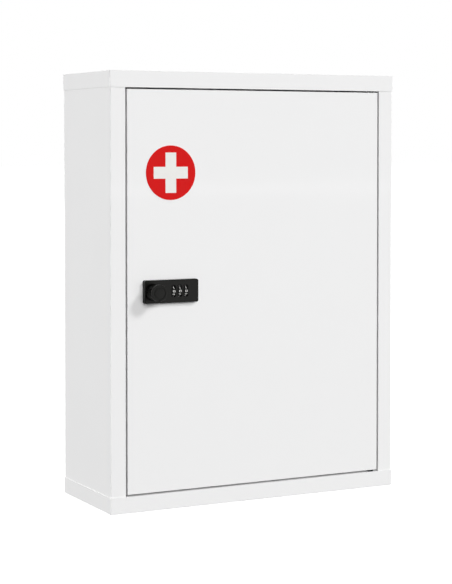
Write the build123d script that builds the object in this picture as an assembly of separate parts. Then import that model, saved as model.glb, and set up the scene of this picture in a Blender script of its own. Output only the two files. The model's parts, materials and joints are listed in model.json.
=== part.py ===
"""Lockable wall cabinet for medicines: folded sheet-steel carcass, one hinged door, a three-wheel
combination lock with a turning knob, two shelves on slotted rails, and a red disc with a white cross.

Millimetres. X runs to the right, Y to the rear, Z up. The origin is the centre of the flat underside
of the carcass, so the door and the lock face -Y. The door is shut, with the lock in its open position.
"""
from build123d import *
import math
import os

# ---------------------------------------------------------------- carcass
cabinet_width = 400.0
cabinet_depth = 150.0           # front face of the cap flanges to the rear face of the cap flanges
cabinet_height = 535.0
sheet = 0.8                     # steel sheet of the carcass, the door and the shelves
fold_round = 0.6                # outside radius that a fold leaves
cap_flange = 20.0               # how far each cap laps over the side panels
frame_face = 20.5               # visible width of the door frame at either side
frame_return = 14.0             # how far the door frame turns back into the cabinet
frame_rail_leg = 12.0           # leg of the frame's top and bottom rails, up or down behind the cap
rear_return = 15.0              # strip that each side panel turns in behind the back panel
seam_gap = 0.2                  # play left where one sheet drops in beside another

# ---------------------------------------------------------------- holes for the wall screws
wall_hole_diameter = 7.0
wall_hole_spacing_x = 300.0
wall_hole_spacing_z = 415.0

# ---------------------------------------------------------------- rivets
rivet_shank = 3.2               # diameter
rivet_head = 6.0                # diameter
rivet_head_height = 0.6
rivet_tail = 4.4                # diameter of the closed end of a blind rivet
rivet_tail_height = 1.4
rivet_count_up = 5              # rivets up each edge of the back panel
rivet_end_margin = 40.0         # first and last rivet, from the ends of the cabinet
press_play = 0.02               # radial play between pieces that are pressed together

# ---------------------------------------------------------------- door
door_gap = 2.0                  # all round, between the door and its frame
door_depth = 16.0
door_return = 12.0              # lip turned in round the back of the door
stiffener_width = 40.0
stiffener_depth = 12.0
stiffener_foot = 10.0
stiffener_place = 20.0          # centre line, to the right of the middle of the cabinet
stiffener_end_gap = 3.0

# ---------------------------------------------------------------- hinges
hinge_pin_diameter = 5.0
hinge_inset = 8.0               # pin centre, in from the hinge edge of the door
hinge_setback = 4.5             # pin centre, behind the front of the door
hinge_play = 0.05               # radial play of a turning pin
bush_wall = 1.0
bush_flange = 0.8               # how far the flange of a bush stands out past its barrel
bush_flange_height = 0.6
bush_length = 3.0               # barrel, from the flange
hinge_block_width = 14.0
hinge_block_depth = 11.5
hinge_block_height = 24.0
hinge_pin_end = 2.0             # pin past the far side of the hinge block
block_screw_diameter = 3.0
block_screw_head = 5.5
block_screw_head_height = 0.8
block_screw_length = 8.0
block_screw_spacing = 12.0
block_screw_setback = 5.6       # behind the hinge pin

# ---------------------------------------------------------------- door stops and strike plate
stop_sheet = 1.2
stop_height = 18.0
stop_inset = 40.0               # centre of a stop, from the end of the door opening
stop_reach = 14.5               # tab behind the door lip, from the bracket's own leg
stop_gap = 3.0                  # tab, behind the door lip
stop_leg_margin = 2.8           # bracket leg, clear of the front fold
bumper_diameter = 8.0
bumper_place = 8.5              # bumper centre, from the bracket's own leg
bumper_gap = 0.3                # bumper to the door lip
strike_height = 24.0
strike_reach = 11.5

# ---------------------------------------------------------------- shelf rails, clips and shelves
rail_width = 20.0
rail_depth = 6.0
rail_end_gap = 30.0             # rail ends, from the ends of the cabinet
rail_front_setback = 36.4       # centre of the front rails, behind the front of the door
rail_rear_setback = 20.6        # centre of the rear rails, in front of the back panel
slot_pitch = 25.0
slot_width = 13.0
slot_height = 3.0
first_slot = 25.0               # from the lower end of a rail
clip_sheet = 1.2
clip_width = 12.0
clip_reach = 12.0
clip_brace = 10.0
clip_hook = 5.0
clip_slot_play = 0.1            # clip to the back of the rail web
shelf_depth = 119.0
shelf_front_setback = 24.2      # front of a shelf, behind the front of the door
shelf_flange = 15.0
shelf_side_gap = 1.4
lower_shelf_height = 180.0      # of the clips, above the underside; each takes the nearest slot
upper_shelf_height = 330.0

# ---------------------------------------------------------------- emblem on the door
emblem_diameter = 66.6
emblem_thickness = 0.4
emblem_inset = 58.1             # centre, in from the opening edge of the door
emblem_drop = 101.3             # centre, down from the top of the door
cross_width = 46.0
cross_height = 49.2
cross_arm = 14.4
cross_gap = 0.02                # between the red disc and the white cross let into it

# ---------------------------------------------------------------- lock housing
lock_inset = 56.4               # centre, in from the opening edge of the door
housing_width = 72.0
housing_height = 28.2
housing_depth = 7.0
housing_corner = 2.2
housing_edge = 0.8              # rounding round the front of the housing
boss_margin = 4.0               # rear boss that fills the hole in the door, in from the housing's edge
boss_play = 0.3                 # boss to the edge of the hole in the door
chassis_margin = 2.0            # lock body behind the door, in from the housing's edge
chassis_depth = 14.0
chassis_corner = 2.0
lock_screw_diameter = 3.0
lock_screw_play = 0.1
lock_screw_head = 5.5
lock_screw_head_height = 1.0
lock_screw_grip = 4.5           # thread in the housing
lock_screw_right = 28.6         # right-hand screw, from the centre of the lock
lock_screw_middle = 8.4         # middle screws, to the left of the centre of the lock
lock_screw_rise = 7.5           # middle screws, above and below the centre of the lock

# ---------------------------------------------------------------- number wheels
wheel_diameter = 14.0
wheel_width = 5.6
wheel_pitch = 8.25
wheel_row = 10.7                # middle wheel, to the right of the centre of the lock
wheel_proud = 1.0               # how far the wheels stand out of the housing
window_lip = 1.3                # thickness of the housing's face round the windows
wheel_clearance = 0.35          # wheel rim to the window and the lock body
wheel_side_play = 0.2
wheel_chamfer = 0.35
wheel_numbers = 10
wheel_groove = 0.4              # radius of the grooves between the numbers
axle_diameter = 2.5
axle_play = 0.05                # radial, between a wheel and its axle
axle_overhang = 2.6             # axle past the outer wheels

# ---------------------------------------------------------------- detent spring behind the wheels
spring_sheet = 0.3
spring_finger_width = 3.6
spring_foot = 3.6
spring_wheel_gap = 0.35

# ---------------------------------------------------------------- locking slide
slide_height = 4.0
slide_depth = 3.2
slide_play = 0.25
slide_spindle_gap = 0.8
slide_flat = 1.5                # depth of the flat on the spindle that the slide drops into
slide_tooth_width = 1.4
slide_tooth = 0.5

# ---------------------------------------------------------------- knob, spindle and cam
knob_left = 25.9                # knob centre, to the left of the centre of the lock
knob_diameter = 20.4
knob_length = 19.7
knob_gap = 0.3                  # knob to the housing face
knob_rim = 0.9                  # rounding of the knob's front edge
knob_ring_outer = 15.6          # shallow ring sunk in the knob's face
knob_ring_inner = 12.4
knob_ring_depth = 0.7
knob_pointer_width = 1.3
knob_pointer_depth = 1.0
knob_flute_count = 30
knob_flute_radius = 1.0
knob_flute_start = 2.2          # flutes begin this far behind the knob's face
spindle_diameter = 8.0
spindle_play = 0.05             # radial, in the housing and the lock body
spindle_in_knob = 12.0
ring_groove = 0.6               # depth of the groove for the retaining ring
ring_width = 0.8
ring_diameter = 11.0
ring_gap = 0.3                  # retaining ring to the lock body
ring_opening = 4.4              # mouth of the ring
cam_gap = 1.0                   # cam behind the door lip
cam_thickness = 2.0
cam_width = 16.0
cam_length = 43.0               # spindle centre to the tip
cam_corner = 2.0
cam_square = 5.6                # square end of the spindle
cam_fit = 0.05
cam_washer_diameter = 9.0
cam_washer_thickness = 0.8
cam_screw_diameter = 3.0
cam_screw_head = 6.0
cam_screw_head_height = 2.0
cam_screw_length = 8.0
driver_slot_width = 0.8
driver_slot_depth = 0.6
spindle_bore_spare = 0.5        # hole past the end of the cam screw

# ---------------------------------------------------------------- places that follow from the sizes
cap_front = -cabinet_depth / 2
cap_rear = cabinet_depth / 2
panel_front = cap_front + sheet                 # front of the side panels and of the door
panel_rear = cap_rear - sheet
side_outer = cabinet_width / 2 - sheet          # outer face of the side panels
side_inner = side_outer - sheet
opening_half = cabinet_width / 2 - frame_face
opening_low = cap_flange
opening_high = cabinet_height - cap_flange
frame_back = panel_front + frame_return
back_rear = panel_rear - sheet                  # rear face of the back panel
back_front = back_rear - sheet

door_half = opening_half - door_gap
door_low = opening_low + door_gap
door_high = opening_high - door_gap
door_inside = panel_front + sheet               # rear face of the door's front sheet
door_back = panel_front + door_depth

hinge_x = door_half - hinge_inset
hinge_y = panel_front + hinge_setback
pin_radius = hinge_pin_diameter / 2
bush_radius = pin_radius + hinge_play + bush_wall
bush_flange_radius = bush_radius + bush_flange

rail_face = side_inner - rail_depth             # face of the rails that carries the clips
rail_low = rail_end_gap
rail_high = cabinet_height - rail_end_gap
rail_front_y = panel_front + rail_front_setback
rail_rear_y = back_front - rail_rear_setback
shelf_front = panel_front + shelf_front_setback
shelf_rear = shelf_front + shelf_depth
shelf_half = rail_face - shelf_side_gap

emblem_x = -door_half + emblem_inset
emblem_z = door_high - emblem_drop
lock_x = -door_half + lock_inset
lock_z = (door_low + door_high) / 2
housing_front = panel_front - housing_depth
chassis_front = door_inside
chassis_back = chassis_front + chassis_depth
boss_half_width = housing_width / 2 - boss_margin
boss_half_height = housing_height / 2 - boss_margin
chassis_half_width = housing_width / 2 - chassis_margin
chassis_half_height = housing_height / 2 - chassis_margin

wheel_radius = wheel_diameter / 2
wheel_y = housing_front - wheel_proud + wheel_radius
wheel_x = [lock_x + wheel_row + place * wheel_pitch for place in (-1, 0, 1)]
cavity_radius = wheel_radius + wheel_clearance
cavity_back = wheel_y + cavity_radius
cavity_left = wheel_x[0] - wheel_width / 2 - wheel_side_play
cavity_right = wheel_x[-1] + wheel_width / 2 + wheel_side_play

knob_x = lock_x - knob_left
knob_back = housing_front - knob_gap
knob_front = knob_back - knob_length
spindle_radius = spindle_diameter / 2
spindle_bore = spindle_radius + spindle_play
ring_front = chassis_back + ring_gap
cam_front = door_back + cam_gap
cam_back = cam_front + cam_thickness
washer_back = cam_back + cam_washer_thickness

slide_left = knob_x + spindle_radius + slide_spindle_gap
slide_front = cavity_back + slide_play + slide_tooth
slide_back = slide_front + slide_depth

lock_screw_places = [
    (lock_x + lock_screw_right, lock_z),
    (lock_x - lock_screw_middle, lock_z + lock_screw_rise),
    (lock_x - lock_screw_middle, lock_z - lock_screw_rise),
]
rivet_heights = [
    rivet_end_margin + step * (cabinet_height - 2 * rivet_end_margin) / (rivet_count_up - 1)
    for step in range(rivet_count_up)
]
back_rivet_x = side_inner - (rear_return - sheet) / 2
stop_heights = (opening_low + stop_inset, opening_high - stop_inset)
stop_leg = (-opening_half - sheet - stop_sheet, -opening_half - sheet)
stop_front = panel_front + stop_leg_margin
stop_tab_front = door_back + stop_gap
strike_tab_back = frame_back + 2 * stop_sheet
frame_rivet_y = (stop_front + frame_back) / 2
frame_rivet_heights = [*stop_heights, lock_z - strike_height / 4, lock_z + strike_height / 4]


# ---------------------------------------------------------------- plain shapes
def block(x, y, z):
    """A box between two places along each axis, given in either order."""
    lows = [min(pair) for pair in (x, y, z)]
    sizes = [abs(pair[1] - pair[0]) for pair in (x, y, z)]
    centre = [low + size / 2 for low, size in zip(lows, sizes)]
    return Pos(*centre) * Box(*sizes)


def rod_x(radius, span, y, z):
    """A round bar along X."""
    return Pos((span[0] + span[1]) / 2, y, z) * Rot(0, 90, 0) * Cylinder(radius, abs(span[1] - span[0]))


def rod_y(radius, span, x, z):
    """A round bar along Y."""
    return Pos(x, (span[0] + span[1]) / 2, z) * Rot(90, 0, 0) * Cylinder(radius, abs(span[1] - span[0]))


def rod_z(radius, span, x, y):
    """A round bar along Z."""
    return Pos(x, y, (span[0] + span[1]) / 2) * Cylinder(radius, abs(span[1] - span[0]))


def around(centre, half):
    """The two places that lie half a width either side of a centre."""
    return (centre - half, centre + half)


def rounded(shape, edges, radius):
    """The shape with the given edges rounded."""
    return fillet(edges, radius) if radius > 0 else shape


def upright_edges(shape, places):
    """The edges of a shape that run along Z at any of the given (x, y) places."""
    near = fold_round / 2
    return [
        edge for edge in shape.edges().filter_by(Axis.Z)
        if any(abs(edge.center().X - x) < near and abs(edge.center().Y - y) < near for x, y in places)
    ]


def plate_y(half_width, half_height, corner, span, x, z):
    """A plate with rounded corners that faces Y, between two places along Y."""
    body = block(around(x, half_width), span, around(z, half_height))
    return fillet(body.edges().filter_by(Axis.Y), corner)


def save(name, shape):
    """Write one sub-part, which may be several separate solids."""
    solids = shape if isinstance(shape, list) else [shape]
    whole = solids[0] if len(solids) == 1 else Compound(children=[Compound(s.wrapped) for s in solids])
    export_step(whole, f"parts/{name}.step")


# ---------------------------------------------------------------- carcass
def cap(plate_z, rim_z):
    """A pan that closes one end of the carcass."""
    outward = -1 if plate_z < rim_z else 1
    outer = block(around(0, cabinet_width / 2), (cap_front, cap_rear), (plate_z, rim_z))
    edges = outer.edges().sort_by(Axis.Z)
    outer = fillet(edges[4:] if outward > 0 else edges[:-4], fold_round)
    return outer - block(around(0, cabinet_width / 2 - sheet), (panel_front, panel_rear),
                         (plate_z - outward * sheet, rim_z))


def frame_rail(plate_z, rim_z):
    """The angle behind the rim of a cap that frames the door opening and carries a hinge bush."""
    outward = -1 if plate_z < rim_z else 1
    half = opening_half - seam_gap
    ledge = block(around(0, half), (panel_front, frame_back), (rim_z, rim_z + outward * sheet))
    leg = block((-half, hinge_x - bush_flange_radius), (panel_front, door_inside),
                (rim_z, rim_z + outward * frame_rail_leg))
    return ledge + leg - rod_z(bush_radius + press_play, around(rim_z, 2 * sheet), hinge_x, hinge_y)


def side_panel(side):
    """One side of the carcass: outer wall, door frame with its inner lip, and the rear strip."""
    z = (sheet, cabinet_height - sheet)
    wall = block((side * side_inner, side * side_outer), (panel_front, panel_rear), z)
    face = block((side * opening_half, side * side_outer), (panel_front, door_inside), z)
    lip = block((side * opening_half, side * (opening_half + sheet)), (panel_front, frame_back), z)
    strip = block(
        (side * (side_outer - rear_return), side * side_outer), (back_rear, panel_rear), z,
    )
    panel = wall + face + lip + strip
    corners = [(side * side_outer, panel_front), (side * side_outer, panel_rear),
               (side * opening_half, panel_front)]
    panel = rounded(panel, upright_edges(panel, corners), fold_round)
    for height in rivet_heights:
        panel -= rod_y(rivet_shank / 2 + press_play, (back_rear, panel_rear), side * back_rivet_x, height)
    return panel


def left_side_panel():
    """The side panel that the door shuts against, drilled for the stops and the strike plate."""
    panel = side_panel(-1)
    for height in frame_rivet_heights:
        panel -= rod_x(rivet_shank / 2 + press_play, (-opening_half, -opening_half - sheet),
                       frame_rivet_y, height)
    return panel


def back_panel():
    """The flat back, with four holes for the wall screws."""
    panel = block(around(0, side_inner - seam_gap), (back_front, back_rear),
                  (sheet, cabinet_height - sheet))
    for x in around(0, wall_hole_spacing_x / 2):
        for z in around(cabinet_height / 2, wall_hole_spacing_z / 2):
            panel -= rod_y(wall_hole_diameter / 2, (back_front, back_rear), x, z)
    for x in around(0, back_rivet_x):
        for z in rivet_heights:
            panel -= rod_y(rivet_shank / 2 + press_play, (back_front, back_rear), x, z)
    return panel


def back_rivets():
    """Blind rivets that hold the back panel to the side panels."""
    rivets = []
    for x in around(0, back_rivet_x):
        for z in rivet_heights:
            shank = rod_y(rivet_shank / 2, (back_front, panel_rear), x, z)
            head = rod_y(rivet_head / 2, (panel_rear, panel_rear + rivet_head_height), x, z)
            tail = rod_y(rivet_tail / 2, (back_front, back_front - rivet_tail_height), x, z)
            rivets.append(shank + head + tail)
    return rivets


def frame_rivets():
    """Blind rivets that hold the door stops and the strike plate to the left lip of the frame."""
    rivets = []
    for height in frame_rivet_heights:
        shank = rod_x(rivet_shank / 2, (-opening_half, stop_leg[0]), frame_rivet_y, height)
        head = rod_x(rivet_head / 2, (-opening_half, -opening_half + rivet_head_height),
                     frame_rivet_y, height)
        tail = rod_x(rivet_tail / 2, (stop_leg[0], stop_leg[0] - rivet_tail_height),
                     frame_rivet_y, height)
        rivets.append(shank + head + tail)
    return rivets


# ---------------------------------------------------------------- door stops and strike plate
def door_stops():
    """Two angle brackets behind the left lip of the frame, each with a tab behind the door."""
    brackets = []
    for height in stop_heights:
        z = around(height, stop_height / 2)
        leg = block(stop_leg, (stop_front, stop_tab_front + stop_sheet), z)
        tab = block((stop_leg[0], stop_leg[1] + stop_reach),
                    (stop_tab_front, stop_tab_front + stop_sheet), z)
        hole = rod_x(rivet_shank / 2 + press_play, stop_leg, frame_rivet_y, height)
        brackets.append(leg + tab - hole)
    return brackets


def door_bumpers():
    """Rubber buttons on the door stops, which meet the lip of the shut door."""
    x = stop_leg[1] + bumper_place
    return [
        rod_y(bumper_diameter / 2, (door_back + bumper_gap, stop_tab_front), x, height)
        for height in stop_heights
    ]


def strike_plate():
    """The angle that the cam hooks behind, on the left lip of the frame."""
    z = around(lock_z, strike_height / 2)
    leg = block(stop_leg, (stop_front, strike_tab_back), z)
    tab = block((stop_leg[0] - strike_reach, stop_leg[1]),
                (strike_tab_back - stop_sheet, strike_tab_back), z)
    plate = leg + tab
    for height in around(lock_z, strike_height / 4):
        plate -= rod_x(rivet_shank / 2 + press_play, stop_leg, frame_rivet_y, height)
    return plate


# ---------------------------------------------------------------- shelf rails, clips and shelves
def slot_heights():
    """Heights of the slots in a rail, from the lowest."""
    room = rail_high - rail_low - 2 * first_slot
    return [rail_low + first_slot + slot_pitch * step for step in range(int(room // slot_pitch) + 1)]


def shelf_rail(side, y):
    """A slotted channel welded up the inside of a side panel."""
    z = (rail_low, rail_high)
    channel = block((side * rail_face, side * side_inner), around(y, rail_width / 2), z)
    channel = rounded(
        channel,
        upright_edges(channel, [(side * rail_face, edge) for edge in around(y, rail_width / 2)]),
        fold_round,
    )
    channel -= block((side * (rail_face + sheet), side * side_inner), around(y, rail_width / 2 - sheet), z)
    for height in slot_heights():
        channel -= block((side * rail_face, side * (rail_face + sheet)), around(y, slot_width / 2),
                         around(height, slot_height / 2))
    return channel


def shelf_seat(wanted):
    """Height of the underside of a shelf whose clips are in the slots nearest to the wanted height."""
    return min(slot_heights(), key=lambda height: abs(height - wanted)) + clip_sheet / 2


def shelf_clips(wanted):
    """Four clips hooked into the rails, each with a tab under the shelf."""
    top = shelf_seat(wanted)
    clips = []
    for side in (-1, 1):
        for y in (rail_front_y, rail_rear_y):
            width = around(y, clip_width / 2)
            hook_near = rail_face + sheet + clip_slot_play
            hook_far = hook_near + clip_sheet
            tab = block((side * (rail_face - clip_reach), side * hook_far), width,
                        (top - clip_sheet, top))
            hook = block((side * hook_near, side * hook_far), width, (top - clip_sheet, top + clip_hook))
            brace = block((side * (rail_face - clip_sheet), side * rail_face), width,
                          (top - clip_sheet - clip_brace, top))
            clips.append(tab + hook + brace)
    return clips


def shelf(wanted):
    """A shallow tray turned upside down, which rests on the four clips."""
    low = shelf_seat(wanted)
    high = low + shelf_flange
    outer = block(around(0, shelf_half), (shelf_front, shelf_rear), (low, high))
    outer = fillet(outer.edges().sort_by(Axis.Z)[4:], fold_round)
    return outer - block(around(0, shelf_half - sheet), (shelf_front + sheet, shelf_rear - sheet),
                         (low, high - sheet))


# ---------------------------------------------------------------- door
def door_panel():
    """The door skin: a pan open to the rear, with a lip turned in all round."""
    outer = block(around(0, door_half), (panel_front, door_back), (door_low, door_high))
    outer = fillet(outer.edges().sort_by(Axis.Y)[:-4], fold_round)
    hollow = block(around(0, door_half - sheet), (door_inside, door_back - sheet),
                   (door_low + sheet, door_high - sheet))
    mouth = block(around(0, door_half - door_return), (door_inside, door_back),
                  (door_low + door_return, door_high - door_return))
    lock_hole = block(around(lock_x, boss_half_width + boss_play), (panel_front, door_inside),
                      around(lock_z, boss_half_height + boss_play))
    panel = outer - hollow - mouth - lock_hole
    for z in ((door_low, door_low + sheet), (door_high, door_high - sheet)):
        panel -= rod_z(pin_radius + press_play, z, hinge_x, hinge_y)
    for z in block_screw_heights():
        panel -= rod_x(block_screw_diameter / 2 + press_play, (door_half - sheet, door_half),
                       hinge_y + block_screw_setback, z)
    return panel


def door_stiffener():
    """A hat-shaped strip up the inside of the door."""
    z = (door_low + sheet + stiffener_end_gap, door_high - sheet - stiffener_end_gap)
    centre = stiffener_place
    half = stiffener_width / 2
    crown = (door_inside + stiffener_depth - sheet, door_inside + stiffener_depth)
    strip = block(around(centre, half), crown, z)
    for side in (-1, 1):
        edge = centre + side * half
        strip += block((edge, edge - side * sheet), (door_inside, crown[1]), z)
        strip += block((edge - side * sheet, edge + side * stiffener_foot),
                       (door_inside, door_inside + sheet), z)
    return strip


# ---------------------------------------------------------------- hinges
def hinge_block_spans():
    """The Z span of the lower and of the upper hinge block."""
    return [(door_low + sheet, door_low + sheet + hinge_block_height),
            (door_high - sheet - hinge_block_height, door_high - sheet)]


def block_screw_heights():
    """Heights of the screws that hold both hinge blocks."""
    return [
        (span[0] + span[1]) / 2 + offset
        for span in hinge_block_spans() for offset in around(0, block_screw_spacing / 2)
    ]


def hinge_block(span):
    """The block in a corner of the door that grips the hinge pin."""
    right = door_half - sheet
    body = block((right - hinge_block_width, right), (door_inside, door_inside + hinge_block_depth), span)
    body -= rod_z(pin_radius + press_play, span, hinge_x, hinge_y)
    for z in around((span[0] + span[1]) / 2, block_screw_spacing / 2):
        body -= rod_x(block_screw_diameter / 2 + press_play, (right, right - block_screw_length),
                      hinge_y + block_screw_setback, z)
    return body


def hinge_pin(block_end, bush_end):
    """A plain pin, fixed in its block and turning in its bush."""
    return rod_z(pin_radius, (block_end, bush_end), hinge_x, hinge_y)


def hinge_bush(seat, toward):
    """A flanged bush pressed into a ledge of the frame, with its flange on the door side."""
    flange_end = seat - toward * bush_flange_height
    barrel = rod_z(bush_radius, (flange_end, seat + toward * bush_length), hinge_x, hinge_y)
    flange = rod_z(bush_flange_radius, (flange_end, seat), hinge_x, hinge_y)
    bore = rod_z(pin_radius + hinge_play, (flange_end, seat + toward * bush_length), hinge_x, hinge_y)
    return barrel + flange - bore


def hinge_thrust_washer():
    """The ring between the door and the lower bush, which carries the weight of the door."""
    z = (opening_low + bush_flange_height + hinge_play, door_low)
    return (rod_z(bush_flange_radius, z, hinge_x, hinge_y)
            - rod_z(pin_radius + press_play, z, hinge_x, hinge_y))


def hinge_block_screws():
    """Low-headed screws through the edge of the door into the hinge blocks."""
    y = hinge_y + block_screw_setback
    head = (door_half, door_half + block_screw_head_height)
    return [
        rod_x(block_screw_diameter / 2, (door_half, door_half - sheet - block_screw_length), y, z)
        + rod_x(block_screw_head / 2, head, y, z)
        for z in block_screw_heights()
    ]


# ---------------------------------------------------------------- emblem
def cross_prism(grow):
    """The cross of the emblem, as thick as the disc, with its outline moved out by grow."""
    y = (panel_front - emblem_thickness, panel_front)
    flat = block(around(emblem_x, cross_width / 2 + grow), y, around(emblem_z, cross_arm / 2 + grow))
    upright = block(around(emblem_x, cross_arm / 2 + grow), y, around(emblem_z, cross_height / 2 + grow))
    return flat + upright


def emblem_disc():
    """The red disc, with the cross cut out of it."""
    disc = rod_y(emblem_diameter / 2, (panel_front - emblem_thickness, panel_front), emblem_x, emblem_z)
    return disc - cross_prism(cross_gap)


# ---------------------------------------------------------------- lock housing and body
def wheel_window(x):
    """The opening that shows one number wheel: straight sides and round ends."""
    half = wheel_width / 2 + wheel_side_play
    y = (housing_front, chassis_front)
    straight = cavity_radius - half
    hole = block(around(x, half), y, around(lock_z, straight))
    for z in around(lock_z, straight):
        hole += rod_y(half, y, x, z)
    pocket = block(around(x, half), (housing_front + window_lip, chassis_front),
                   around(lock_z, cavity_radius))
    return hole + pocket


def axle_span():
    """Where the wheel axle begins and ends along X."""
    return (cavity_left - axle_overhang, cavity_right + axle_overhang)


def lock_housing():
    """The black cover on the front of the door, with the three windows and the knob's bearing."""
    cover = plate_y(housing_width / 2, housing_height / 2, housing_corner,
                    (housing_front, panel_front), lock_x, lock_z)
    cover = fillet(cover.faces().sort_by(Axis.Y)[0].edges(), housing_edge)
    boss = block(around(lock_x, boss_half_width), (panel_front, chassis_front),
                 around(lock_z, boss_half_height))
    body = cover + boss
    for x in wheel_x:
        body -= wheel_window(x)
    body -= rod_y(spindle_bore, (housing_front, chassis_front), knob_x, lock_z)
    seat = axle_diameter / 2 + press_play
    body -= rod_x(seat, axle_span(), wheel_y, lock_z)
    body -= block(axle_span(), (wheel_y, chassis_front), around(lock_z, seat))
    for x, z in lock_screw_places:
        body -= rod_y(lock_screw_diameter / 2 + press_play,
                      (chassis_front - lock_screw_grip, chassis_front), x, z)
    return body


def lock_chassis():
    """The lock body behind the door, which clamps the door sheet against the housing."""
    body = plate_y(chassis_half_width, chassis_half_height, chassis_corner,
                   (chassis_front, chassis_back), lock_x, lock_z)
    body -= block((cavity_left, cavity_right), (chassis_front, cavity_back),
                  around(lock_z, cavity_radius))
    body -= block((knob_x, cavity_right), (cavity_back, slide_back + slide_play),
                  around(lock_z, slide_height / 2 + slide_play))
    body -= rod_y(spindle_bore, (chassis_front, chassis_back), knob_x, lock_z)
    for x, z in lock_screw_places:
        body -= rod_y(lock_screw_diameter / 2 + lock_screw_play, (chassis_front, chassis_back), x, z)
    return body


def lock_fixing_screws():
    """Screws through the lock body into the housing."""
    screws = []
    for x, z in lock_screw_places:
        shank = rod_y(lock_screw_diameter / 2, (chassis_front - lock_screw_grip, chassis_back), x, z)
        head_back = chassis_back + lock_screw_head_height
        head = rod_y(lock_screw_head / 2, (chassis_back, head_back), x, z)
        slot = block(around(x, lock_screw_head / 2), (head_back - driver_slot_depth, head_back),
                     around(z, driver_slot_width / 2))
        screws.append(shank + head - slot)
    return screws


# ---------------------------------------------------------------- number wheels
def number_wheel(x):
    """One wheel, with a shallow groove between each two of its numbers."""
    span = around(x, wheel_width / 2)
    wheel = rod_x(wheel_radius, span, wheel_y, lock_z)
    wheel = chamfer(wheel.edges().filter_by(GeomType.CIRCLE), wheel_chamfer)
    for number in range(wheel_numbers):
        turn = math.radians((number + 0.5) * 360 / wheel_numbers)
        wheel -= rod_x(wheel_groove, span, wheel_y - wheel_radius * math.cos(turn),
                       lock_z + wheel_radius * math.sin(turn))
    return wheel - rod_x(axle_diameter / 2 + axle_play, span, wheel_y, lock_z)


def wheel_axle():
    """The pin that the three wheels turn on."""
    return rod_x(axle_diameter / 2, axle_span(), wheel_y, lock_z)


def detent_spring():
    """A leaf at the top of the wheel cavity, with one bent finger over each wheel."""
    top = lock_z + cavity_radius
    foot_back = cavity_back
    foot = block((cavity_left + wheel_side_play, cavity_right - wheel_side_play),
                 (foot_back - spring_foot, foot_back), (top - spring_sheet, top))
    reach = wheel_radius + spring_wheel_gap
    slant = math.radians(45)
    tip_y = wheel_y + reach * math.cos(slant)
    tip_z = lock_z + reach * math.sin(slant)
    for x in wheel_x:
        corners = [(foot_back, top), (foot_back, top - spring_sheet),
                   (tip_y, tip_z), (tip_y, tip_z + spring_sheet), (foot_back - spring_sheet, top)]
        outline = Polyline(*[(x - spring_finger_width / 2, y, z) for y, z in corners], close=True)
        foot += extrude(make_face(outline), amount=spring_finger_width, dir=(1, 0, 0))
    return foot


# ---------------------------------------------------------------- knob, spindle, slide and cam
def lock_knob():
    """The round knob: fluted side, a shallow ring in its face and a pointer groove."""
    radius = knob_diameter / 2
    knob = rod_y(radius, (knob_front, knob_back), knob_x, lock_z)
    knob = fillet(knob.edges().filter_by(GeomType.CIRCLE).sort_by(Axis.Y)[0], knob_rim)
    ring = (rod_y(knob_ring_outer / 2, (knob_front, knob_front + knob_ring_depth), knob_x, lock_z)
            - rod_y(knob_ring_inner / 2, (knob_front, knob_front + knob_ring_depth), knob_x, lock_z))
    pointer = block(around(knob_x, knob_pointer_width / 2), (knob_front, knob_front + knob_pointer_depth),
                    (lock_z - radius, lock_z - (knob_ring_outer + knob_ring_inner) / 4))
    knob = knob - ring - pointer
    for flute in range(knob_flute_count):
        turn = math.radians((flute + 0.5) * 360 / knob_flute_count)
        knob -= rod_y(knob_flute_radius, (knob_front + knob_flute_start, knob_back),
                      knob_x + (radius + knob_flute_radius / 2) * math.sin(turn),
                      lock_z - (radius + knob_flute_radius / 2) * math.cos(turn))
    return knob - rod_y(spindle_radius + press_play, (knob_back - spindle_in_knob, knob_back),
                        knob_x, lock_z)


def knob_spindle():
    """The shaft from the knob to the cam, with a ring groove, a flat and a square end."""
    shaft = rod_y(spindle_radius, (knob_back - spindle_in_knob, cam_front), knob_x, lock_z)
    groove_y = (ring_front, ring_front + ring_width)
    shaft -= (rod_y(spindle_radius, groove_y, knob_x, lock_z)
              - rod_y(spindle_radius - ring_groove, groove_y, knob_x, lock_z))
    shaft -= block(around(knob_x, spindle_radius),
                   (slide_front - slide_play, slide_back + slide_play),
                   (lock_z + spindle_radius - slide_flat, lock_z + spindle_radius))
    square = block(around(knob_x, cam_square / 2), (cam_front, cam_back - cam_fit),
                   around(lock_z, cam_square / 2))
    hole_end = washer_back - cam_screw_length - spindle_bore_spare
    hole = rod_y(cam_screw_diameter / 2 + press_play, (hole_end, cam_back), knob_x, lock_z)
    return shaft + square - hole


def spindle_ring():
    """The snap ring behind the lock body that keeps the spindle from pulling out."""
    y = (ring_front, ring_front + ring_width)
    ring = (rod_y(ring_diameter / 2, y, knob_x, lock_z)
            - rod_y(spindle_radius - ring_groove + press_play, y, knob_x, lock_z))
    return ring - block(around(knob_x, ring_opening / 2), y, (lock_z, lock_z + ring_diameter))


def locking_slide():
    """The bar behind the wheels that drops against the flat of the spindle when the lock is shut."""
    bar = block((slide_left, cavity_right - wheel_side_play), (slide_front, slide_back),
                around(lock_z, slide_height / 2))
    for x in wheel_x:
        bar += block(around(x, slide_tooth_width / 2), (slide_front - slide_tooth, slide_front),
                     around(lock_z, slide_height / 2))
    return bar


def lock_cam():
    """The flat arm that hooks behind the strike plate; it hangs down when the lock is open."""
    y = (cam_front, cam_back)
    half = cam_width / 2
    arm = block(around(knob_x, half), y, (lock_z - cam_length, lock_z))
    arm = fillet(arm.edges().filter_by(Axis.Y).sort_by(Axis.Z)[:2], cam_corner)
    arm += rod_y(half, y, knob_x, lock_z)
    return arm - block(around(knob_x, cam_square / 2 + cam_fit), y,
                       around(lock_z, cam_square / 2 + cam_fit))


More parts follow.
